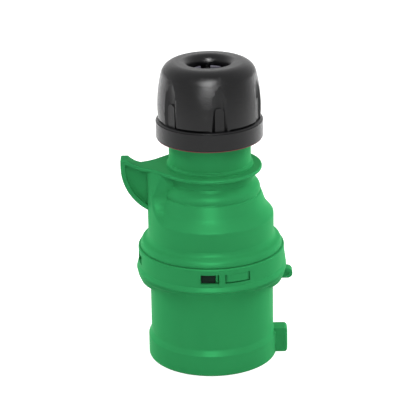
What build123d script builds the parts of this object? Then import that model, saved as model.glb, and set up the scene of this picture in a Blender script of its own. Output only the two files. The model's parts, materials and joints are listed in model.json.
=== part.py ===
"""Industrial power plug, 16 A, five poles, with a screwed cable gland.

Frame: the origin is the centre of the collar's rim, on which the plug stands.
+Z runs along the plug to the cable gland, +X points to the key, and -X to the finger hook.
All sizes are in millimetres.
"""

from build123d import *

import os
from math import asin, cos, degrees, radians, sin, sqrt, tan

# Clearances
slip = 0.3                     # between pieces that move on each other
seat = 0.1                     # between fixed pieces that are put together by hand
through = 2.0                  # how far a cutter runs past the face that it opens
weld = 1.0                     # how far a form that stands on a wall reaches into it
wall_share = 0.4               # of a wall, the largest rounding of its edges
edge_share = 0.98              # of an outline's edge, what the roundings at its ends may take

# Collar of the front housing
collar_radius = 27.1
collar_wall = 2.9
collar_height = 39.2           # from the rim to the ring
collar_draft = 0.2             # how much wider it is at the ring
collar_step = 0.25
collar_step_drop = 4.1
lip_proud = 1.25
lip_height = 9.4
lip_fairing = 2.4
lip_fairing_rounding = 2.0
rim_rounding = 0.8
collar_bore_radius = collar_radius - collar_wall
collar_top_radius = collar_radius + collar_draft

# Key on the collar
key_proud = 6.2
key_height = 11.2
key_width = 7.0
key_rounding = 1.4

# Ring of the front housing
ring_proud = 4.85
ring_wall = 3.55
ring_height = 12.4
ring_ledge_height = 2.3        # from the ring's underside to the ledge that carries the contact carrier
ring_rounding = 0.5
ring_under_drop = 0.7          # of its lower edge, where it meets the collar
ring_under_height = 3.6
ring_under_rounding = 1.6
ring_radius = collar_radius + ring_proud
ring_bore_radius = ring_radius - ring_wall
ring_ledge = collar_height + ring_ledge_height
ring_top = collar_height + ring_height

# Grip bulges low on the ring, at both sides; they are squeezed front to back, so they fade out
bulge_proud = 1.0
bulge_drop = 2.2               # below the ring's underside
bulge_crown_rise = 2.3
bulge_rounding = 1.8
bulge_crown_rounding = 3.6
bulge_squeeze = 0.82
bulge_left_rise = 6.0
bulge_right_rise = 9.8
skirt_drop = 7.4
skirt_corner_proud = 3.1       # beyond the collar
skirt_corner_rise = 1.7
skirt_rounding = 4.0
skirt_squeeze = 0.6

# Lug on the ring
lug_proud = 3.65
lug_width = 4.6
lug_height = 4.6
lug_drop = 1.85                # of its centre below the ring's underside
lug_eye_radius = 0.9
lug_eye_depth = 0.5

# Windows in the ring, as degrees to the right of the front, and what of the rear housing shows in them
window_height = 4.1
window_drop = 4.47             # of their centres below the ring's top
lug_window_edges = (-8.6, 5.7)
tab_window_edges = (10.4, 30.8)
side_window_edges = (-86.0, -72.0)
lug_edges = (3.0, 5.3)
tab_edges = (10.85, 29.8)
lug_depth = 1.05               # inside the ring's face
tab_depth = 0.15
tab_gap = 0.5                  # under them
window_height_from_rim = ring_top - window_drop

# Seal between the housings
seal_thickness = 0.25
seal_inset = 0.45

# Cable gland, from the cable outwards
grommet_bore_radius = 6.4
grommet_wall = 6.3
cage_wall = 1.6
neck_wall = 3.25
gland_bore_depth = 9.5
grommet_radius = grommet_bore_radius + grommet_wall
cage_radius = grommet_radius + seat + cage_wall
gland_bore_radius = cage_radius + seat
neck_radius = gland_bore_radius + neck_wall

# Rear housing, in the order of its heights
housing_wall = 2.5
spigot_wall = 2.7
foot_inset = 2.05              # inside the ring
foot_height = 2.9
foot_ledge = 2.45              # from the foot's edge to the body
foot_rounding = 1.3
body_fairing = 0.5
body_height = 11.45
shoulder_rounding = 1.6
slope_height = 9.8
slope_knee_height = 4.0
slope_knee_inset = 3.25
slope_knee_rounding = 8.0
slope_step = 0.45              # outside the bead
slope_rounding = 0.4
bead_groove_height = 0.9
bead_groove_depth = 0.3
bead_height = 3.0
bead_ledge = 2.5               # outside the waist
bead_rounding = 4.0
waist_fairing = 3.4            # from the bead to the crease under the waist
waist_crease_height = 0.6
waist_crease_depth = 0.35
waist_proud = 1.45             # outside the neck
under_plate_height = 3.5
plate_thickness = 1.8
plate_proud = 4.7
plate_rounding = 0.7
neck_height = 27.7             # above the plate
neck_foot_proud = 1.15
neck_foot_height = 1.1
neck_foot_step = 0.25
neck_foot_fairing = 0.6
neck_foot_rounding = 0.4
neck_bore_step = 2.5           # from the gland's bore to the neck's bore
neck_rounding = 0.5
thread_relief = 0.25
thread_length = 13.0
cavity_rounding = 2.0
spigot_radius = ring_bore_radius - slip
spigot_bore_radius = spigot_radius - spigot_wall
foot_radius = ring_radius - foot_inset
body_radius = foot_radius - foot_ledge
waist_radius = neck_radius + waist_proud
bead_radius = waist_radius + bead_ledge
plate_radius = neck_radius + plate_proud
foot_bottom = ring_top + seal_thickness
foot_top = foot_bottom + foot_height
shoulder = foot_top + body_height
slope_top = shoulder + slope_height
bead_top = slope_top + bead_height
waist_bottom = bead_top + waist_fairing
waist_top = waist_bottom + waist_crease_height
plate_bottom = waist_top + under_plate_height
plate_top = plate_bottom + plate_thickness
neck_top = plate_top + neck_height
gland_bore_bottom = neck_top - gland_bore_depth

# Pillar under the finger hook
pillar_width = 21.4
pillar_sink = 4.0              # of its foot into the body, below the shoulder
pillar_flare = 12.0            # radius with which its sides run out on the shoulder
pillar_taper_height = 10.0     # over which its corners draw in under the plate's edge
pillar_rounding = 1.5

# Finger hook
hook_beyond_body = 11.15
hook_width = 7.0
hook_arc_radius = 22.6
hook_arc_rise = 1.5            # of the arc's centre above the plate's underside
hook_tip_rise = 3.2            # above the plate
hook_tip_thickness = 3.2
hook_tip_rounding = 0.7
hook_curl_length = 7.4
hook_edge_rounding = 0.5
hook_flange = 2.0
hook_web = 2.2
hook_panel_rise = 3.0          # of the panel's upper corner above the plate's underside
hook_panel_bend = 9.0          # from the tip, where the panel's upper edge starts to rise
plate_tangent_angle = 45.0     # from the hook's axis, where the plate leaves its round
plate_neck_rounding = 18.0
hook_reach = body_radius + hook_beyond_body
hook_centre = (hook_arc_radius - hook_reach, plate_bottom + hook_arc_rise)

# Pins and their terminals
pin_names = ("earth", "l1", "l2", "l3", "n")
pin_stand_off = 7.3            # of their circle inside the collar's bore
pin_setback = 2.5              # of their tips behind the rim
earth_angle = 120.0            # from the key, seen from the gland
live_pin_radius = 2.5
live_terminal_radius = 3.9
earth_pin_radius = 3.5
earth_terminal_radius = 4.5
pin_shoulder = 0.4             # how much thicker a pin is inside the carrier
pin_root_length = 5.9          # from the carrier's face to the terminal
pin_tip_rounding = 0.45        # of the pin's radius
wire_hole_radius = 2.2
wire_hole_depth = 10.0
terminal_screw_radius = 1.5
terminal_screw_drop = 5.0      # below the terminal's end
terminal_head_radius = 2.4
terminal_head_height = 1.4
slot_width = 0.6
slot_depth = 0.7
clamp_plate_radius = 1.1
clamp_plate_thickness = 0.6
pin_circle_radius = collar_bore_radius - pin_stand_off

# Contact carrier, its cover and the cover's screw
carrier_lip_proud = 1.5        # outside the collar's bore
carrier_lip_height = 2.9
carrier_flange_thickness = 2.1
carrier_wall = 1.3             # outside the earth terminal
carrier_length = 18.4
cover_thickness = 2.2
cover_rounding = 0.6
funnel_radius = 2.95
funnel_depth = 1.1
cover_screw_radius = 1.25
cover_screw_length = 8.0       # below the carrier's back
cover_head_radius = 2.6
cover_head_height = 1.6
carrier_lip_radius = collar_bore_radius + carrier_lip_proud
carrier_radius = pin_circle_radius + earth_terminal_radius + carrier_wall
carrier_face = ring_ledge - carrier_lip_height
carrier_back = carrier_face + carrier_length
cover_top = carrier_back + cover_thickness
spigot_bottom = ring_ledge + carrier_flange_thickness
terminal_bottom = carrier_face + pin_root_length
terminal_screw_height = carrier_back - terminal_screw_drop

# Gland nut
nut_gap = 13.0                 # above the plate when it is screwed home
nut_skirt_wall = 5.05
nut_skirt_height = 7.7
nut_skirt_chamfer = 0.3
nut_groove_height = 0.5
nut_groove_depth = 1.2
nut_base_inset = 1.1           # inside the skirt
nut_cap_height = 18.4          # above the neck
nut_side_lean = 14.2           # degrees, where the side runs into the top's rounding
nut_hole_radius = 8.5
nut_inner_rounding = 3.4
nut_outer_rounding = 6.4
nut_crest_width = 2.3
nut_cavity_inset = 1.05        # inside the thread
nut_cavity_chamfer = 0.8
nut_ceiling_depth = 12.4
nut_hole_depth = 5.4
nut_thread_radius = neck_radius + slip
nut_skirt_radius = nut_thread_radius + nut_skirt_wall
nut_base_radius = nut_skirt_radius - nut_base_inset
nut_cavity_radius = nut_thread_radius - nut_cavity_inset
nut_crest_radius = nut_hole_radius + nut_inner_rounding + nut_crest_width
nut_bottom = plate_top + nut_gap
nut_skirt_top = nut_bottom + nut_skirt_height
nut_side_bottom = nut_skirt_top + nut_groove_height
nut_top = neck_top + nut_cap_height
nut_ceiling = nut_top - nut_ceiling_depth
nut_hole_bottom = nut_top - nut_hole_depth

# Grip flutes in the nut's side, each with a tongue that stands in it
flute_count = 6
flute_first_angle = 11.7       # degrees to the right of the front
flute_radius = 4.2
flute_depth = 2.1              # at its foot
flute_lean = 2.9               # degrees
tongue_width = 4.0
tongue_height = 10.2
tongue_proud = 1.4             # outside the flute's floor

# Ring on the nut's lower edge
edge_ring_thickness = 0.35
edge_ring_inset = 0.35

# Clamp cage: a tube in the neck, with a flange on its end and fingers that bend in over the cable
cage_flange_proud = 2.0
cage_flange_thickness = 1.5
finger_count = 5
finger_first_angle = 65.0
finger_half_angle = 18.0
finger_thickness = 1.2
finger_root_proud = 0.6        # outside the cage's tube
finger_bend_drop = 1.0         # below the nut's ceiling
finger_tip_depth = 4.2         # below the nut's top
finger_tip_length = 2.9
finger_gap = 0.6               # from the fingers' tips to the nut's hole
cage_flange_top = neck_top + cage_flange_thickness
finger_radius = cage_radius + finger_root_proud
finger_tip_radius = nut_hole_radius - finger_gap
finger_bend = nut_ceiling - finger_bend_drop
finger_tip = nut_top - finger_tip_depth

# Grommet and thrust ring
grommet_proud = 2.5            # above the neck
grommet_rounding = 0.8
thrust_wall = 1.1
thrust_lift = 0.9              # above the cage's flange
thrust_end_drop = 1.6          # of its narrow end below the nut's hole

front = 270.0                  # angle of the side that faces -Y


def polar(radius, angle):
    return radius * cos(radians(angle)), radius * sin(radians(angle))


def limited(points, radii):
    """Roundings of an outline's corners, each made smaller where its two edges are too short for it."""
    count = len(points)
    corners = [Vector(*point) for point in points]
    edges = [corners[(index + 1) % count] - corners[index] for index in range(count)]
    runs = [
        radius * tan(radians(edges[index - 1].get_angle(edges[index])) / 2)
        for index, radius in enumerate(radii)
    ]
    for index in range(count):
        following = (index + 1) % count
        wanted = runs[index] + runs[following]
        room = edges[index].length * edge_share
        if wanted > room:
            radii[index] *= room / wanted
            radii[following] *= room / wanted
            runs[index] *= room / wanted
            runs[following] *= room / wanted
    return radii


def rounded_face(corners):
    """Closed outline as a face; a corner is (x, y) or (x, y, rounding)."""
    points = [corner[:2] for corner in corners]
    radii = limited(points, [corner[2] if len(corner) > 2 else 0 for corner in corners])
    if any(radii):
        return make_face(FilletPolyline(*points, radius=radii, close=True))
    return make_face(Polyline(*points, close=True))


def turned(*corners):
    """Solid of revolution about Z; a corner is (radius, height) or (radius, height, rounding)."""
    return revolve(Plane.XZ * rounded_face(corners), Axis.Z)


def tube(outer, inner, bottom, top):
    return turned((inner, bottom), (outer, bottom), (outer, top), (inner, top))


def rod(radius, bottom, top, centre=(0, 0)):
    return Pos(centre[0], centre[1], bottom) * Cylinder(
        radius, top - bottom, align=(Align.CENTER, Align.CENTER, Align.MIN)
    )


def cross_rod(radius, start, end):
    """Rod along +X between two distances from the axis."""
    return Pos((start + end) / 2, 0, 0) * Rot(0, 90, 0) * Cylinder(radius, end - start)


def sector(first, last, reach, bottom, top):
    """Wedge about Z between two angles, which keeps or cuts a stretch of a ring."""
    middle = (first + last) / 2
    outline = Line((0, 0), polar(reach, first))
    outline += ThreePointArc(polar(reach, first), polar(reach, middle), polar(reach, last))
    outline += Line(polar(reach, last), (0, 0))
    return Pos(0, 0, bottom) * extrude(make_face(outline), top - bottom)


def radial(shape, angle, height):
    """Turns a shape that is built along +X to an angle about Z and lifts it."""
    return Pos(0, 0, height) * Rot(0, 0, angle) * shape


def beside_front(edges):
    return front + edges[0], front + edges[1]


def pin_angle(index):
    return earth_angle + 360 / len(pin_names) * index


def pin_radii(index):
    """Radii of a pin and its terminal; the first pin is the earth pin."""
    if index == 0:
        return earth_pin_radius, earth_terminal_radius
    return live_pin_radius, live_terminal_radius


def front_housing():
    step = collar_height - collar_step_drop
    shell = turned(
        (0, 0),
        (collar_radius + lip_proud, 0, rim_rounding),
        (collar_radius + lip_proud, lip_height, rim_rounding),
        (collar_radius, lip_height + lip_fairing, lip_fairing_rounding),
        (collar_top_radius - collar_step, step),
        (collar_top_radius, step + collar_step),
        (collar_top_radius, collar_height - ring_under_drop),
        (ring_radius, collar_height + ring_under_height, ring_under_rounding),
        (ring_radius, ring_top, ring_rounding),
        (0, ring_top),
    )
    shell += side_bulge(-1, bulge_left_rise) + side_bulge(1, bulge_right_rise)
    shell += collar_key() + ring_lug()
    shell -= front_bore()
    for edges in (lug_window_edges, tab_window_edges, side_window_edges):
        shell -= window(beside_front(edges))
    return shell


def front_bore():
    """Space inside the front housing: the collar's bore, the carrier's seat and the ring's bore."""
    flare = collar_bore_radius + rim_rounding * 2
    return turned(
        (0, -through),
        (flare, -through),
        (flare, 0),
        (collar_bore_radius, 0, rim_rounding),
        (collar_bore_radius, carrier_face),
        (carrier_lip_radius + seat, carrier_face),
        (carrier_lip_radius + seat, ring_ledge),
        (ring_bore_radius, ring_ledge),
        (ring_bore_radius, ring_top + through),
        (0, ring_top + through),
    )


def window(edges):
    """Opening through the ring's wall between two angles."""
    bottom = window_height_from_rim - window_height / 2
    top = window_height_from_rim + window_height / 2
    return sector(*edges, ring_radius + bulge_proud + through, bottom, top) - rod(
        spigot_radius, bottom, top
    )


def side_bulge(side, rise):
    """Bulge and skirt at one side of the ring."""
    bottom = collar_height - bulge_drop
    crown = collar_height + bulge_crown_rise
    skirt_bottom = collar_height - skirt_drop
    bulge = turned(
        (0, bottom),
        (ring_radius, bottom, bulge_rounding),
        (ring_radius + bulge_proud, crown, bulge_crown_rounding),
        (ring_radius, collar_height + rise),
        (0, collar_height + rise),
    )
    skirt = turned(
        (0, skirt_bottom),
        (collar_top_radius, skirt_bottom),
        (collar_top_radius + skirt_corner_proud, skirt_bottom + skirt_corner_rise, skirt_rounding),
        (ring_radius, bottom),
        (ring_radius - bulge_rounding, crown),
        (0, crown),
    )
    form = scale(bulge, by=(1, bulge_squeeze, 1)) + scale(skirt, by=(1, skirt_squeeze, 1))
    half = Pos(side * ring_radius, 0, collar_height) * Box(ring_radius * 2, ring_radius * 3, ring_radius * 2)
    return form & half


def collar_key():
    inner = collar_radius - weld
    outer = collar_radius + key_proud
    block = Pos((inner + outer) / 2, 0, key_height / 2) * Box(outer - inner, key_width, key_height)
    return fillet(block.edges().group_by(Axis.X)[-1], min(key_rounding, key_width * wall_share))


def ring_lug():
    """Lug with a round nose, on the right bulge, with a small round dimple in each face."""
    inner = ring_radius - weld
    nose = ring_radius + lug_proud - lug_height / 2
    centre = collar_height - lug_drop
    outline = Pos((inner + nose) / 2, centre) * Rectangle(nose - inner, lug_height)
    outline += Pos(nose, centre) * Circle(lug_height / 2)
    lug = extrude(Plane.XZ * outline, lug_width / 2, both=True)
    eye = extrude(Plane.XZ * Pos(nose, centre) * Circle(lug_eye_radius), lug_eye_depth, both=True)
    for side in (1, -1):
        lug -= Pos(0, side * lug_width / 2, 0) * eye
    return lug


def housing_seal():
    return tube(foot_radius - seal_inset, ring_bore_radius, ring_top, foot_bottom)


def rear_housing():
    thread_bottom = neck_top - thread_length
    foot_of_neck = neck_radius + neck_foot_proud
    shell = turned(
        (0, spigot_bottom),
        (spigot_radius, spigot_bottom),
        (spigot_radius, foot_bottom),
        (foot_radius, foot_bottom),
        (foot_radius, foot_top, foot_rounding),
        (body_radius, foot_top + body_fairing, body_fairing),
        (body_radius, shoulder, shoulder_rounding),
        (body_radius - slope_knee_inset, shoulder + slope_knee_height, slope_knee_rounding),
        (bead_radius + slope_step, slope_top, slope_rounding),
        (bead_radius - bead_groove_depth, slope_top + bead_groove_height / 2),
        (bead_radius, slope_top + bead_groove_height),
        (bead_radius, bead_top, bead_rounding),
        (waist_radius - waist_crease_depth, waist_bottom),
        (waist_radius, waist_top, waist_crease_depth),
        (waist_radius, plate_top - plate_thickness / 2),
        (foot_of_neck, plate_top - plate_thickness / 2),
        (foot_of_neck - neck_foot_step, plate_top + neck_foot_height, neck_foot_step),
        (neck_radius, plate_top + neck_foot_height + neck_foot_fairing, neck_foot_rounding),
        (neck_radius, thread_bottom),
        (neck_radius - thread_relief, thread_bottom + thread_relief),
        (neck_radius - thread_relief, neck_top, neck_rounding),
        (0, neck_top),
    )
    shell += pillar()
    shell += hook()
    shell -= rear_bore()
    return shell + (closure_tabs() - rear_bore())


def rear_bore():
    """Space inside the rear housing: the spigot's bore, the wiring space, the neck and the gland."""
    wiring_radius = body_radius - housing_wall
    neck_bore_radius = gland_bore_radius - neck_bore_step
    return turned(
        (0, spigot_bottom - through),
        (spigot_bore_radius, spigot_bottom - through),
        (spigot_bore_radius, foot_bottom - weld),
        (wiring_radius, foot_bottom + weld),
        (wiring_radius, shoulder - housing_wall, cavity_rounding),
        (neck_bore_radius, waist_top, cavity_rounding),
        (neck_bore_radius, gland_bore_bottom),
        (gland_bore_radius, gland_bore_bottom),
        (gland_bore_radius, neck_top + through),
        (0, neck_top + through),
    )


def closure_tabs():
    """Snap tab and bayonet lug on the spigot, which show in the ring's windows."""
    bottom = window_height_from_rim - window_height / 2 + tab_gap
    top = window_height_from_rim + window_height / 2 - seat
    pieces = Part()
    for edges, depth in ((tab_edges, tab_depth), (lug_edges, lug_depth)):
        wedge = sector(*beside_front(edges), ring_radius + through, bottom, top)
        pieces += wedge & tube(ring_radius - depth, spigot_bore_radius + weld, bottom, top)
    return pieces


def pillar():
    """Pillar of the body's own radius, which carries the hook; its sides sweep out on the shoulder."""
    half = pillar_width / 2
    bottom = shoulder - pillar_sink
    flared = half + pillar_flare
    flare_top = shoulder + pillar_flare
    outline = Polyline((half, flare_top), (half, plate_top), (-half, plate_top), (-half, flare_top))
    outline += RadiusArc((-flared, shoulder), (-half, flare_top), -pillar_flare)
    beyond = body_radius + through
    outline += Polyline((-flared, shoulder), (-beyond, shoulder), (-beyond, bottom))
    outline += Polyline((-beyond, bottom), (beyond, bottom), (beyond, shoulder), (flared, shoulder))
    outline += RadiusArc((half, flare_top), (flared, shoulder), -pillar_flare)
    post = extrude(Plane.YZ * make_face(outline), -body_radius)
    post &= rod(body_radius, bottom, plate_bottom + plate_thickness / 2)
    post = fillet([edge for edge in post.edges() if outer_side_edge(edge, half, bottom)], pillar_rounding)
    corner_angle = degrees(asin(half / body_radius))
    for side in (1, -1):
        post -= Rot(0, 0, 180 + side * plate_tangent_angle) * pillar_taper(corner_angle)
    return post


def outer_side_edge(edge, half, bottom):
    """Whether an edge of the pillar runs up one of its sides or along the shoulder, on the outside."""
    middle = edge @ 0.5
    on_outside = abs(sqrt(middle.X**2 + middle.Y**2) - body_radius) < seat
    return on_outside and middle.X < -seat and abs(middle.Y) > half - seat and middle.Z > bottom + seat


def pillar_taper(corner_angle):
    """Cutter that draws a corner of the pillar in, down from the plate's edge."""
    corner = body_radius * cos(radians(plate_tangent_angle - corner_angle))
    outline = Polyline(
        (plate_radius, plate_top),
        (plate_radius, plate_bottom),
        (corner, plate_bottom - pillar_taper_height),
        (body_radius + through, plate_bottom - pillar_taper_height),
        (body_radius + through, plate_top),
        close=True,
    )
    return extrude(Plane.XZ * make_face(outline), body_radius, both=True)


def on_hook_arc(radius, height):
    """Point at a height on the lower left of an arc about the hook's centre."""
    return hook_centre[0] - sqrt(radius**2 - (height - hook_centre[1]) ** 2), height


def below_hook_arc(radius, place):
    """Point under the hook's centre, at a distance from the axis, on an arc about that centre."""
    return place, hook_centre[1] - sqrt(radius**2 - (place - hook_centre[0]) ** 2)


def hook():
    """Finger hook: a fin under a plate, which narrows to a tongue and curls up to a tip."""
    foot = below_hook_arc(hook_arc_radius, -sqrt(body_radius**2 - (hook_width / 2) ** 2))
    root = foot[0] + weld * 2
    tip_height = plate_top + hook_tip_rise
    tip_inside = (-hook_reach + hook_tip_thickness, tip_height)
    tip_outside = (-hook_reach, tip_height)
    curl_start = (tip_inside[0] + hook_curl_length, plate_top)
    arc_start = (-hook_reach, hook_centre[1])
    arc_middle = on_hook_arc(hook_arc_radius, (hook_centre[1] + foot[1]) / 2)
    outline = TangentArc(curl_start, tip_inside, tangent=(-1, 0))
    outline += Polyline(tip_inside, tip_outside, arc_start)
    outline += ThreePointArc(arc_start, arc_middle, foot)
    outline += Polyline(foot, (root, foot[1]), (root, plate_top), curl_start)
    face = make_face(outline)
    face = fillet(face.vertices().group_by(Axis.Y)[-1], min(hook_tip_rounding, hook_tip_thickness * wall_share))
    fin = extrude(Plane.XZ * face, hook_width / 2, both=True)
    sides = fin.edges().group_by(Axis.Y)
    fin = fillet(sides[0] + sides[-1], min(hook_edge_rounding, hook_flange * wall_share))
    fin += hook_plate()
    recess = extrude(Plane.XZ * hook_panel(foot[0]), hook_width / 2, both=True)
    for side in (1, -1):
        fin -= Pos(0, side * (hook_width + hook_web) / 2, 0) * recess
    return fin


def hook_panel(place):
    """Recessed panel in the fin, inside its flange and below the plate."""
    radius = hook_arc_radius - hook_flange
    left = on_hook_arc(radius, plate_bottom + hook_panel_rise)
    low = below_hook_arc(radius, place)
    middle = on_hook_arc(radius, (left[1] + low[1]) / 2)
    outline = Polyline(low, (place, plate_bottom), (hook_panel_bend - hook_reach, plate_bottom), left)
    outline += ThreePointArc(left, middle, low)
    return make_face(outline)


def hook_plate():
    """Plate seen from above: a disc round the neck, which runs out at a tangent to the hook's tongue."""
    start = polar(plate_radius, 180 + plate_tangent_angle)
    half = hook_width / 2 - seat
    knee = start[0] - (-start[1] - half) / tan(radians(90 - plate_tangent_angle))
    end = -hook_reach + hook_tip_thickness
    face = Circle(plate_radius) + rounded_face(
        [
            (0, 0),
            start,
            (knee, -half, plate_neck_rounding),
            (end, -half),
            (end, half),
            (knee, half, plate_neck_rounding),
            (start[0], -start[1]),
        ]
    )
    plate = Pos(0, 0, plate_bottom) * extrude(face, plate_thickness)
    rims = plate.edges().group_by(Axis.Z)
    return fillet(rims[0] + rims[-1], min(plate_rounding, plate_thickness * wall_share))


def contact_carrier():
    body = turned(
        (0, carrier_face),
        (carrier_lip_radius, carrier_face),
        (carrier_lip_radius, ring_ledge),
        (spigot_radius, ring_ledge),
        (spigot_radius, spigot_bottom),
        (carrier_radius, spigot_bottom),
        (carrier_radius, carrier_back),
        (0, carrier_back),
    )
    tunnel = cross_rod(terminal_head_radius + slip, pin_circle_radius, carrier_radius + through)
    for index in range(len(pin_names)):
        shank, terminal = pin_radii(index)
        place = polar(pin_circle_radius, pin_angle(index))
        body -= rod(shank + pin_shoulder + seat, carrier_face - through, terminal_bottom, place)
        body -= rod(terminal + seat, terminal_bottom, carrier_back + through, place)
        body -= radial(tunnel, pin_angle(index), terminal_screw_height)
    hole_bottom = carrier_back - cover_screw_length - weld
    return body - rod(cover_screw_radius + seat / 2, hole_bottom, carrier_back + through)


def contact_pin(index):
    """Pin with a domed tip, and its terminal with a wire hole and a threaded cross hole."""
    shank, terminal = pin_radii(index)
    piece = turned(
        (0, pin_setback),
        (shank, pin_setback, shank * pin_tip_rounding),
        (shank, carrier_face - seat),
        (shank + pin_shoulder, carrier_face - seat),
        (shank + pin_shoulder, terminal_bottom),
        (terminal, terminal_bottom),
        (terminal, carrier_back),
        (0, carrier_back),
    )
    piece -= rod(wire_hole_radius, carrier_back - wire_hole_depth, carrier_back + through)
    piece -= Pos(0, 0, terminal_screw_height) * cross_rod(
        terminal_screw_radius + seat / 2, 0, terminal + through
    )
    return Rot(0, 0, pin_angle(index)) * Pos(pin_circle_radius, 0, 0) * piece


def terminal_screw(index):
    """Slotted screw across a pin's terminal, with its head outwards."""
    head_start = pin_circle_radius + pin_radii(index)[1] + seat
    head_end = head_start + terminal_head_height
    tip = pin_circle_radius + wire_hole_radius - clamp_plate_thickness
    screw = cross_rod(terminal_screw_radius, tip, head_start)
    screw += cross_rod(terminal_head_radius, head_start, head_end)
    screw -= Pos(head_end, 0, 0) * Box(slot_depth * 2, terminal_head_radius * 2 + through, slot_width)
    return radial(screw, pin_angle(index), terminal_screw_height)


def clamp_plate(index):
    """Small pressure plate under a terminal's screw, inside the wire hole."""
    outer = pin_circle_radius + wire_hole_radius - clamp_plate_thickness
    disc = cross_rod(clamp_plate_radius, outer - clamp_plate_thickness, outer)
    return radial(disc, pin_angle(index), terminal_screw_height)


def carrier_cover():
    plate = turned(
        (cover_screw_radius + seat, carrier_back),
        (carrier_radius, carrier_back),
        (carrier_radius, cover_top, cover_rounding),
        (cover_screw_radius + seat, cover_top),
    )
    for index in range(len(pin_names)):
        x, y = polar(pin_circle_radius, pin_angle(index))
        plate -= Pos(x, y, cover_top - funnel_depth) * Cone(
            wire_hole_radius, funnel_radius, funnel_depth, align=(Align.CENTER, Align.CENTER, Align.MIN)
        )
        plate -= rod(wire_hole_radius, carrier_back - through, cover_top + through, (x, y))
    return plate


def carrier_screw():
    head_top = cover_top + cover_head_height
    screw = rod(cover_screw_radius, carrier_back - cover_screw_length, cover_top)
    screw += rod(cover_head_radius, cover_top, head_top)
    return screw - Pos(0, 0, head_top) * Box(cover_head_radius * 2 + through, slot_width, slot_depth * 2)


def gland_nut():
    groove_radius = nut_base_radius - nut_groove_depth
    rounding_centre = Vector(nut_crest_radius, nut_top - nut_outer_rounding)
    lean = Vector(*polar(1, nut_side_lean))
    side_end = rounding_centre + lean * nut_outer_rounding
    rounding_middle = rounding_centre + Vector(*polar(nut_outer_rounding, (nut_side_lean + 90) / 2))
    inner_crest = nut_hole_radius + nut_inner_rounding
    hole_edge = (nut_hole_radius, nut_top - nut_inner_rounding)
    inner_middle = Vector(inner_crest, hole_edge[1]) + Vector(*polar(nut_inner_rounding, 135))
    outline = Polyline(
        (nut_thread_radius, nut_bottom),
        (nut_skirt_radius - nut_skirt_chamfer, nut_bottom),
        (nut_skirt_radius, nut_bottom + nut_skirt_chamfer),
        (nut_skirt_radius, nut_skirt_top - nut_skirt_chamfer),
        (nut_skirt_radius - nut_skirt_chamfer, nut_skirt_top),
        (groove_radius, nut_skirt_top),
        (groove_radius, nut_side_bottom),
        (nut_base_radius, nut_side_bottom),
    )
    outline += TangentArc(side_end, (nut_base_radius, nut_side_bottom), tangent=(lean.Y, -lean.X))
    outline += ThreePointArc(side_end, rounding_middle, (nut_crest_radius, nut_top))
    outline += Line((nut_crest_radius, nut_top), (inner_crest, nut_top))
    outline += ThreePointArc((inner_crest, nut_top), inner_middle, hole_edge)
    outline += Polyline(
        hole_edge,
        (nut_hole_radius, nut_hole_bottom),
        (nut_cavity_radius, nut_ceiling),
        (nut_cavity_radius, neck_top + slip + nut_cavity_chamfer),
        (nut_thread_radius, neck_top + slip),
        (nut_thread_radius, nut_bottom),
    )
    nut = revolve(Plane.XZ * make_face(outline), Axis.Z)
    for index in range(flute_count):
        nut -= Rot(0, 0, front + flute_first_angle + 360 / flute_count * index) * flute()
    return nut


def flute():
    """Cutter for one grip flute, less the tongue that stands in it."""
    floor = nut_base_radius - flute_depth
    leaning = Pos(floor + flute_radius, 0, nut_side_bottom) * Rot(0, flute_lean, 0)
    cutter = leaning * Cylinder(flute_radius, nut_top * 2)
    cutter &= rod(nut_skirt_radius * 2, nut_side_bottom, nut_top)
    half = tongue_width / 2
    straight = tongue_height - half
    outline = Pos(0, nut_side_bottom + straight / 2) * Rectangle(tongue_width, straight)
    outline += Pos(0, nut_side_bottom + straight) * Circle(half)
    return cutter - extrude(Plane.YZ * outline, floor + tongue_proud)


def nut_edge_ring():
    return tube(
        nut_skirt_radius - edge_ring_inset,
        nut_thread_radius + edge_ring_inset,
        nut_bottom - edge_ring_thickness,
        nut_bottom,
    )


def clamp_cage():
    inner = cage_radius - cage_wall
    cage = turned(
        (inner, gland_bore_bottom),
        (cage_radius, gland_bore_bottom),
        (cage_radius, neck_top),
        (cage_radius + cage_flange_proud, neck_top),
        (cage_radius + cage_flange_proud, cage_flange_top),
        (inner, cage_flange_top),
    )
    root = cage_flange_top - cage_flange_thickness / 3
    tip_start = finger_tip - finger_tip_length
    fingers = turned(
        (finger_radius - finger_thickness, root),
        (finger_radius, root),
        (finger_radius, finger_bend, finger_thickness),
        (finger_tip_radius, tip_start, finger_thickness),
        (finger_tip_radius, finger_tip, finger_thickness / 3),
        (finger_tip_radius - finger_thickness, finger_tip, finger_thickness / 3),
        (finger_tip_radius - finger_thickness, tip_start - finger_thickness / 2, finger_thickness),
        (finger_radius - finger_thickness, finger_bend - finger_thickness / 2, finger_thickness),
    )
    for index in range(finger_count):
        middle = finger_first_angle + 360 / finger_count * index
        edges = (middle - finger_half_angle, middle + finger_half_angle)
        cage += fingers & sector(*edges, finger_radius + through, root, finger_tip + through)
    return cage


def cable_grommet():
    top = neck_top + grommet_proud
    return turned(
        (grommet_bore_radius, gland_bore_bottom, grommet_rounding),
        (grommet_radius, gland_bore_bottom),
        (grommet_radius, top, grommet_rounding),
        (grommet_bore_radius, top, grommet_rounding),
    )


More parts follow.
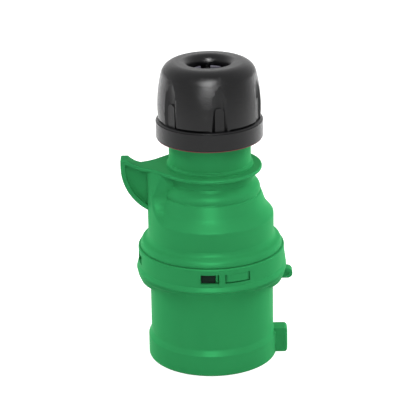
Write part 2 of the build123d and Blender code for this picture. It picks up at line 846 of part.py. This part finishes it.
def thrust_ring():
    """Cone between the nut's ceiling and the fingers; it slides with the nut and doesn't turn."""
    outer = nut_cavity_radius - slip
    rise = (nut_hole_bottom - nut_ceiling) / (nut_cavity_radius - nut_hole_radius)
    drop = slip * sqrt(1 + rise**2)
    end = nut_hole_bottom - thrust_end_drop
    end_radius = nut_cavity_radius - (end + drop - nut_ceiling) / rise
    shoulder_height = nut_ceiling + (nut_cavity_radius - outer) * rise - drop
    return turned(
        (outer - thrust_wall, cage_flange_top + thrust_lift),
        (outer, cage_flange_top + thrust_lift),
        (outer, shoulder_height),
        (end_radius, end),
        (end_radius - thrust_wall / 2, end - thrust_wall / 2),
        (outer - thrust_wall, shoulder_height - thrust_wall),
    )


def all_nodes():
    nodes = {
        "front_housing": front_housing(),
        "rear_housing": rear_housing(),
        "housing_seal": housing_seal(),
        "contact_carrier": contact_carrier(),
        "carrier_cover": carrier_cover(),
        "carrier_screw": carrier_screw(),
        "clamp_cage": clamp_cage(),
        "cable_grommet": cable_grommet(),
        "thrust_ring": thrust_ring(),
        "gland_nut": gland_nut(),
        "nut_edge_ring": nut_edge_ring(),
    }
    for index, name in enumerate(pin_names):
        nodes[f"pin_{name}"] = contact_pin(index)
        nodes[f"terminal_screw_{name}"] = terminal_screw(index)
        nodes[f"clamp_plate_{name}"] = clamp_plate(index)
    return nodes


os.makedirs("parts", exist_ok=True)
for name, shape in all_nodes().items():
    export_step(shape, f"parts/{name}.step")
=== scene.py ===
import bpy
import json
from math import cos, radians, sin
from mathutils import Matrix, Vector


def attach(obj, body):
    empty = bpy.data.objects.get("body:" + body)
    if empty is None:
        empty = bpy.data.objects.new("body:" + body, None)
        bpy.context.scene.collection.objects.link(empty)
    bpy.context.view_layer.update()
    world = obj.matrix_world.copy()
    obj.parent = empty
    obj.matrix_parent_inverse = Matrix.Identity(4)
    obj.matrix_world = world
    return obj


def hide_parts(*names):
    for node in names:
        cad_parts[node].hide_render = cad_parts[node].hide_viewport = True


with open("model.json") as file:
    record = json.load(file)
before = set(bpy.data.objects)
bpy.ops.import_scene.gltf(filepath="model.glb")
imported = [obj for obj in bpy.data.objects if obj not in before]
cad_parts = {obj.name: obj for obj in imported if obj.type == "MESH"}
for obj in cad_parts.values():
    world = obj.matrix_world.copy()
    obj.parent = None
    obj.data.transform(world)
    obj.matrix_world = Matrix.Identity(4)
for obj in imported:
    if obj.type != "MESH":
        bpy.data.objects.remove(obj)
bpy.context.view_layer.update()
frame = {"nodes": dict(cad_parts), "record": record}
print("frame loaded:", len(frame["nodes"]), "nodes")

mm = 0.001

# Finishes: cloudSize and grainSize are in waves per metre, heights are in metres

greenShell = {
    "base": (0.027, 0.272, 0.086),
    "pale": (0.034, 0.300, 0.097),
    "cloudSize": 55.0,
    "roughness": (0.42, 0.5),
    "grainSize": 2600.0,
    "grainHeight": 0.000004,
    "specular": 0.012,
    "metallic": 0.08,
    "edgeTint": (0.3, 1.0, 0.5),
}
blackShell = {
    "base": (0.0035, 0.0035, 0.0039),
    "pale": (0.006, 0.006, 0.0066),
    "cloudSize": 80.0,
    "roughness": (0.17, 0.24),
    "grainSize": 2400.0,
    "grainHeight": 0.00012,
    "specular": 0.26,
}
carrierPlastic = {
    "base": (0.016, 0.016, 0.017),
    "pale": (0.026, 0.026, 0.028),
    "cloudSize": 90.0,
    "roughness": (0.4, 0.52),
    "grainSize": 3000.0,
    "grainHeight": 0.00001,
    "specular": 0.5,
}
cagePlastic = {
    "base": (0.085, 0.08, 0.105),
    "pale": (0.12, 0.115, 0.145),
    "cloudSize": 120.0,
    "roughness": (0.38, 0.5),
    "grainSize": 3000.0,
    "grainHeight": 0.00001,
    "specular": 0.5,
}
redPlastic = {
    "base": (0.10, 0.006, 0.006),
    "pale": (0.13, 0.01, 0.009),
    "cloudSize": 120.0,
    "roughness": (0.35, 0.45),
    "grainSize": 3000.0,
    "grainHeight": 0.00001,
    "specular": 0.5,
}
sealRubber = {
    "base": (0.012, 0.012, 0.012),
    "pale": (0.03, 0.03, 0.031),
    "cloudSize": 60.0,
    "roughness": (0.62, 0.8),
    "grainSize": 1500.0,
    "grainHeight": 0.00003,
    "specular": 0.3,
}
paintedShadeInside = {                             # painted shade: a dark finish standing for the shade behind the small front window
    "base": (0.002, 0.012, 0.006),
    "pale": (0.004, 0.02, 0.01),
    "cloudSize": 900.0,
    "roughness": (0.7, 0.9),
    "grainSize": 2600.0,
    "grainHeight": 0.00002,
    "specular": 0.1,
}
nickelPlate = {
    "base": (0.62, 0.58, 0.5),
    "pale": (0.72, 0.69, 0.62),
    "roughness": (0.16, 0.3),
    "drawnSize": (3500.0, 3500.0, 60.0),
    "drawnHeight": 0.000004,
}
zincPlate = {
    "base": (0.5, 0.51, 0.53),
    "pale": (0.66, 0.67, 0.69),
    "roughness": (0.25, 0.42),
    "drawnSize": (900.0, 900.0, 900.0),
    "drawnHeight": 0.000006,
}
noiseDetail = {"cloud": 3.0, "grain": 2.0, "drawn": 3.0}
bumpStrength = {"grain": 1.0, "drawn": 0.6}


def newMaterial(name):
    material = bpy.data.materials.new(name)
    material.use_nodes = True
    tree = material.node_tree
    return material, tree, tree.nodes["Principled BSDF"]


def blendedColour(tree, look, factor):
    mix = tree.nodes.new("ShaderNodeMix")
    mix.data_type = "RGBA"
    mix.inputs["A"].default_value = (*look["base"], 1)
    mix.inputs["B"].default_value = (*look["pale"], 1)
    tree.links.new(factor, mix.inputs["Factor"])
    return mix.outputs["Result"]


def ranged(tree, source, low, high):
    node = tree.nodes.new("ShaderNodeMapRange")
    node.inputs["To Min"].default_value = low
    node.inputs["To Max"].default_value = high
    tree.links.new(source, node.inputs["Value"])
    return node.outputs["Result"]


def noiseAt(tree, place, scale, detail):
    noise = tree.nodes.new("ShaderNodeTexNoise")
    noise.inputs["Scale"].default_value = scale
    noise.inputs["Detail"].default_value = detail
    tree.links.new(place, noise.inputs["Vector"])
    return noise.outputs["Fac"]


def raiseGrain(tree, shader, height, strength, distance):
    bump = tree.nodes.new("ShaderNodeBump")
    bump.inputs["Strength"].default_value = strength
    bump.inputs["Distance"].default_value = distance
    tree.links.new(height, bump.inputs["Height"])
    tree.links.new(bump.outputs["Normal"], shader.inputs["Normal"])


def mouldedPlastic(name, look):
    material, tree, shader = newMaterial(name)
    place = tree.nodes.new("ShaderNodeTexCoord").outputs["Object"]
    cloud = noiseAt(tree, place, look["cloudSize"], noiseDetail["cloud"])
    grain = noiseAt(tree, place, look["grainSize"], noiseDetail["grain"])
    tree.links.new(blendedColour(tree, look, cloud), shader.inputs["Base Color"])
    tree.links.new(ranged(tree, cloud, *look["roughness"]), shader.inputs["Roughness"])
    raiseGrain(tree, shader, grain, bumpStrength["grain"], look["grainHeight"])
    shader.inputs["Specular IOR Level"].default_value = look["specular"]
    shader.inputs["Metallic"].default_value = look.get("metallic", 0.0)
    shader.inputs["Specular Tint"].default_value = (*look.get("edgeTint", (1.0, 1.0, 1.0)), 1)
    return material


def platedMetal(name, look):
    material, tree, shader = newMaterial(name)
    place = tree.nodes.new("ShaderNodeTexCoord").outputs["Object"]
    stretch = tree.nodes.new("ShaderNodeMapping")
    stretch.inputs["Scale"].default_value = look["drawnSize"]
    tree.links.new(place, stretch.inputs["Vector"])
    lines = noiseAt(tree, stretch.outputs["Vector"], 1.0, noiseDetail["drawn"])
    tree.links.new(blendedColour(tree, look, lines), shader.inputs["Base Color"])
    tree.links.new(ranged(tree, lines, *look["roughness"]), shader.inputs["Roughness"])
    raiseGrain(tree, shader, lines, bumpStrength["drawn"], look["drawnHeight"])
    shader.inputs["Metallic"].default_value = 1.0
    return material


finishes = {
    "green_shell": mouldedPlastic("greenMouldedShell", greenShell),
    "black_plastic": mouldedPlastic("blackGrainedPlastic", blackShell),
    "carrier_plastic": mouldedPlastic("carrierPlastic", carrierPlastic),
    "cage_plastic": mouldedPlastic("cagePlastic", cagePlastic),
    "red_ring": mouldedPlastic("redRingPlastic", redPlastic),
    "seal_rubber": mouldedPlastic("sealRubber", sealRubber),
    "painted_shade_inside": mouldedPlastic("paintedShadeInside", paintedShadeInside),
    "plated_brass": platedMetal("nickelPlate", nickelPlate),
    "plated_steel": platedMetal("zincPlate", zincPlate),
}
slotOf = {part["node"]: part["material_slot"] for part in frame["record"]["subparts"]}
for nodeName, node in frame["nodes"].items():
    node.data.materials.clear()
    node.data.materials.append(finishes[slotOf[nodeName]])
print("finishes made:", len(finishes))


# Smooth skins over the moulded nodes

skins = {
    "frontShellSkin": {"node": "front_housing", "slot": "green_shell", "body": "shell"},
    "rearShellSkin": {"node": "rear_housing", "slot": "green_shell", "body": "shell"},
    "glandNutSkin": {"node": "gland_nut", "slot": "black_plastic", "body": "nut"},
}
skinMesh = {
    "merge": 0.002,                       # mm
    "flat": 0.4,                          # degrees, under which neighbours become one face
    "sharp": 32,                          # degrees, over which an edge stays sharp
    "weight": 50,
}


def selectOnly(piece):
    bpy.ops.object.select_all(action="DESELECT")
    piece.select_set(True)
    bpy.context.view_layer.objects.active = piece


def smoothSkin(name, skin):
    node = frame["nodes"][skin["node"]]
    piece = bpy.data.objects.new(name, node.data.copy())
    bpy.context.scene.collection.objects.link(piece)
    selectOnly(piece)
    bpy.ops.object.mode_set(mode="EDIT")
    bpy.ops.mesh.select_all(action="SELECT")
    bpy.ops.mesh.remove_doubles(threshold=skinMesh["merge"] * mm)
    bpy.ops.mesh.dissolve_limited(angle_limit=radians(skinMesh["flat"]))
    bpy.ops.object.mode_set(mode="OBJECT")
    bpy.ops.object.shade_smooth_by_angle(angle=radians(skinMesh["sharp"]))
    weigh = piece.modifiers.new("evenNormals", "WEIGHTED_NORMAL")
    weigh.keep_sharp = True
    weigh.weight = skinMesh["weight"]
    bpy.ops.object.modifier_apply(modifier=weigh.name)
    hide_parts(skin["node"])
    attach(piece, skin["body"])


for skinName, skin in skins.items():
    smoothSkin(skinName, skin)
print("skins:", len(skins))


# Trim that the solids leave out, in millimetres and degrees

turnedTrim = {                            # half sections as (radius, height)
    "ringFlare": {                        # lip round the ring's lower edge
        "slot": "green_shell",
        "body": "shell",
        "section": [
            (31.4, 43.9), (31.93, 43.5), (32.2, 43.0), (32.75, 41.9), (32.85, 41.5), (32.75, 41.2),
            (32.4, 41.0), (30.6, 40.6), (28.6, 39.4), (27.2, 38.3), (27.0, 38.3), (27.0, 43.9),
        ],
    },
    "footFairing": {                      # soft step from the rear shell to the ring
        "slot": "green_shell",
        "body": "shell",
        "section": [
            (27.3, 58.0), (27.44, 57.6), (27.55, 56.9), (27.75, 56.25), (28.1, 55.7), (28.6, 55.3),
            (29.2, 55.05), (29.8, 54.75), (30.3, 54.25), (30.6, 53.6), (30.8, 52.9), (30.95, 52.2),
            (30.95, 51.95), (30.8, 51.8), (30.0, 51.7), (27.3, 51.7),
        ],
    },
    "nutLedge": {                         # sloped seat between the nut's flank and its skirt
        "slot": "black_plastic",
        "body": "nut",
        "section": [
            (21.0, 108.9), (22.98, 108.9), (22.9, 109.02), (22.6, 109.3), (22.35, 109.5), (21.0, 109.6),
        ],
    },
}
turning = {"steps": 192, "sharp": 40}
neckThread = {                            # turns that show on the neck when the nut is screwed up
    "crest": 17.78,
    "root": 17.4,
    "pitch": 3.0,
    "first": 104.3,                       # height of the lowest crest
    "turns": 3,
    "stepsPerTurn": 72,
    "flank": 0.7,                         # half widths at the root and at the crest
    "flat": 0.25,
    "sharp": 30,
}
windowPaintedShade = {                           # dark plate that paints the shade behind the small front window
    "radius": (30.3, 30.7),
    "height": (45.2, 49.05),
    "angle": (-8.4, 2.7),                 # to the right of the front
    "steps": 12,
    "sharp": 30,
}
trimMerge = 0.001


def drawnLoop(name, points):
    mesh = bpy.data.meshes.new(name)
    mesh.from_pydata(points, [(i, (i + 1) % len(points)) for i in range(len(points))], [])
    piece = bpy.data.objects.new(name, mesh)
    bpy.context.scene.collection.objects.link(piece)
    selectOnly(piece)
    return piece


def spinLoop(steps, degrees):
    bpy.ops.object.mode_set(mode="EDIT")
    bpy.ops.mesh.select_all(action="SELECT")
    bpy.ops.mesh.spin(steps=steps, angle=radians(degrees), center=(0, 0, 0), axis=(0, 0, 1))
    bpy.ops.object.mode_set(mode="OBJECT")


def closeAndSmooth(sharp):
    bpy.ops.object.mode_set(mode="EDIT")
    bpy.ops.mesh.select_all(action="SELECT")
    bpy.ops.mesh.remove_doubles(threshold=trimMerge * mm)
    bpy.ops.mesh.fill_holes(sides=0)
    bpy.ops.mesh.select_all(action="SELECT")
    bpy.ops.mesh.normals_make_consistent(inside=False)
    bpy.ops.object.mode_set(mode="OBJECT")
    bpy.ops.object.shade_smooth_by_angle(angle=radians(sharp))


def finishTrim(piece, finish, body):
    piece.data.materials.append(finishes[finish])
    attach(piece, body)


def addTurnedTrim(name, trim):
    piece = drawnLoop(name, [(0, -r * mm, z * mm) for r, z in trim["section"]])
    spinLoop(turning["steps"], 360)
    closeAndSmooth(turning["sharp"])
    finishTrim(piece, trim["slot"], trim["body"])


def addNeckThread(thread):
    middle = thread["first"]
    section = [
        (thread["root"], middle - thread["flank"]),
        (thread["crest"], middle - thread["flat"]),
        (thread["crest"], middle + thread["flat"]),
        (thread["root"], middle + thread["flank"]),
    ]
    piece = drawnLoop("neckThread", [(r * mm, 0, z * mm) for r, z in section])
    screw = piece.modifiers.new("helix", "SCREW")
    screw.axis = "Z"
    screw.angle = radians(360)
    screw.screw_offset = thread["pitch"] * mm
    screw.iterations = thread["turns"]
    screw.steps = screw.render_steps = thread["stepsPerTurn"]
    bpy.ops.object.modifier_apply(modifier=screw.name)
    closeAndSmooth(thread["sharp"])
    finishTrim(piece, "green_shell", "shell")


# Painted shade: a dark plate stands inside the window where there is only shade
def addWindowPaintedShade(shade):
    (inner, outer), (low, high), (first, last) = shade["radius"], shade["height"], shade["angle"]
    corners = [(inner, low), (outer, low), (outer, high), (inner, high)]
    across, inwards = sin(radians(first)), -cos(radians(first))
    piece = drawnLoop("windowPaintedShade", [(r * mm * across, r * mm * inwards, z * mm) for r, z in corners])
    spinLoop(shade["steps"], first - last)               # spin turns the other way round
    closeAndSmooth(shade["sharp"])
    finishTrim(piece, "painted_shade_inside", "shell")


for trimName, trim in turnedTrim.items():
    addTurnedTrim(trimName, trim)
addNeckThread(neckThread)
addWindowPaintedShade(windowPaintedShade)
print("trim:", len(turnedTrim) + 2)


# Camera

photoCamera = {
    "at": (0.0, -0.780, 0.3655),
    "turn": (69.04, 0.859, -0.306),       # degrees
    "lens": 164.23,                       # mm, on a sensor as wide as the next line says
    "sensor": 36.0,
    "near": 0.05,
    "far": 20.0,
}
cameraData = bpy.data.cameras.new("photoCamera")
cameraData.lens = photoCamera["lens"]
cameraData.sensor_width = photoCamera["sensor"]
cameraData.clip_start = photoCamera["near"]
cameraData.clip_end = photoCamera["far"]
camera = bpy.data.objects.new("photoCamera", cameraData)
camera.location = photoCamera["at"]
camera.rotation_euler = [radians(a) for a in photoCamera["turn"]]
bpy.context.scene.collection.objects.link(camera)
bpy.context.scene.camera = camera


# Lamps: shade says whether one lights the colour, and glint whether it shows in the gloss

lamps = {
    "leftRim": {"at": (-0.70, 0.66, 0.07), "aim": (0, 0, 0.06), "size": (0.5, 0.13), "watts": 7.0,
                "shade": True, "glint": False},
    "rightRim": {"at": (0.70, 0.66, 0.07), "aim": (0, 0, 0.06), "size": (0.5, 0.13), "watts": 9.4,
                 "shade": True, "glint": False},
    "frontStrip": {"at": (0.0, -0.74, 0.74), "aim": (0, 0, 0.08), "size": (0.3, 0.7), "watts": 3.7,
                   "shade": True, "glint": False},
    "glintStrip": {"at": (-0.02, -0.88, 0.56), "aim": (0, 0, 0.08), "size": (0.13, 0.6), "watts": 16.0,
                   "shade": False, "glint": True},
    "leftTop": {"at": (-0.75, 0.05, 0.85), "aim": (0, 0, 0.1), "size": (0.5, 0.5), "watts": 6.0,
                "shade": True, "glint": False},
    "rightTop": {"at": (0.75, 0.05, 0.85), "aim": (0, 0, 0.1), "size": (0.5, 0.5), "watts": 7.0,
                 "shade": True, "glint": False},
}


def addLamp(name, lamp):
    bpy.ops.object.light_add(type="AREA", location=lamp["at"])
    light = bpy.context.object
    light.name = name
    light.data.shape = "RECTANGLE"
    light.data.size, light.data.size_y = lamp["size"]
    light.data.energy = lamp["watts"]
    light.visible_camera = False
    light.visible_diffuse = lamp["shade"]
    light.visible_glossy = lamp["glint"]
    way = Vector(lamp["aim"]) - Vector(lamp["at"])
    light.rotation_euler = way.to_track_quat("-Z", "Y").to_euler()


for lampName, lamp in lamps.items():
    addLamp(lampName, lamp)
print("camera placed, lamps:", len(lamps))


# White room and floor

def seenDirectly(tree):                   # 1 where the camera, a reflection or glass looks, else 0
    path = tree.nodes.new("ShaderNodeLightPath")
    most = path.outputs["Is Camera Ray"]
    for ray in ("Is Glossy Ray", "Is Transmission Ray"):
        larger = tree.nodes.new("ShaderNodeMath")
        larger.operation = "MAXIMUM"
        tree.links.new(most, larger.inputs[0])
        tree.links.new(path.outputs[ray], larger.inputs[1])
        most = larger.outputs["Value"]
    return most


whiteRoom = {"fill": 0.19, "backdrop": 1.0}
world = bpy.data.worlds.new("studio")
bpy.context.scene.world = world
world.use_nodes = True
worldTree = world.node_tree
backdrop = worldTree.nodes["Background"]
backdrop.inputs["Color"].default_value = (1, 1, 1, 1)
strength = ranged(worldTree, seenDirectly(worldTree), whiteRoom["fill"], whiteRoom["backdrop"])
worldTree.links.new(strength, backdrop.inputs["Strength"])

floorLook = {"size": 6.0, "colour": (0.8, 0.8, 0.8), "glow": 0.62, "roughness": 0.9}
bpy.ops.mesh.primitive_plane_add(size=floorLook["size"], location=(0, 0, 0))
floor = bpy.context.object
floor.name = "floor"
floorMaterial, floorTree, floorShader = newMaterial("floorWhite")
floorShader.inputs["Base Color"].default_value = (*floorLook["colour"], 1)
floorShader.inputs["Roughness"].default_value = floorLook["roughness"]
floorShader.inputs["Specular IOR Level"].default_value = 0.0
floorShader.inputs["Emission Color"].default_value = (1, 1, 1, 1)
glow = ranged(floorTree, seenDirectly(floorTree), 0.0, floorLook["glow"])
floorTree.links.new(glow, floorShader.inputs["Emission Strength"])
floor.data.materials.append(floorMaterial)

bpy.context.scene.view_settings.view_transform = "Standard"
print("room and floor ready")
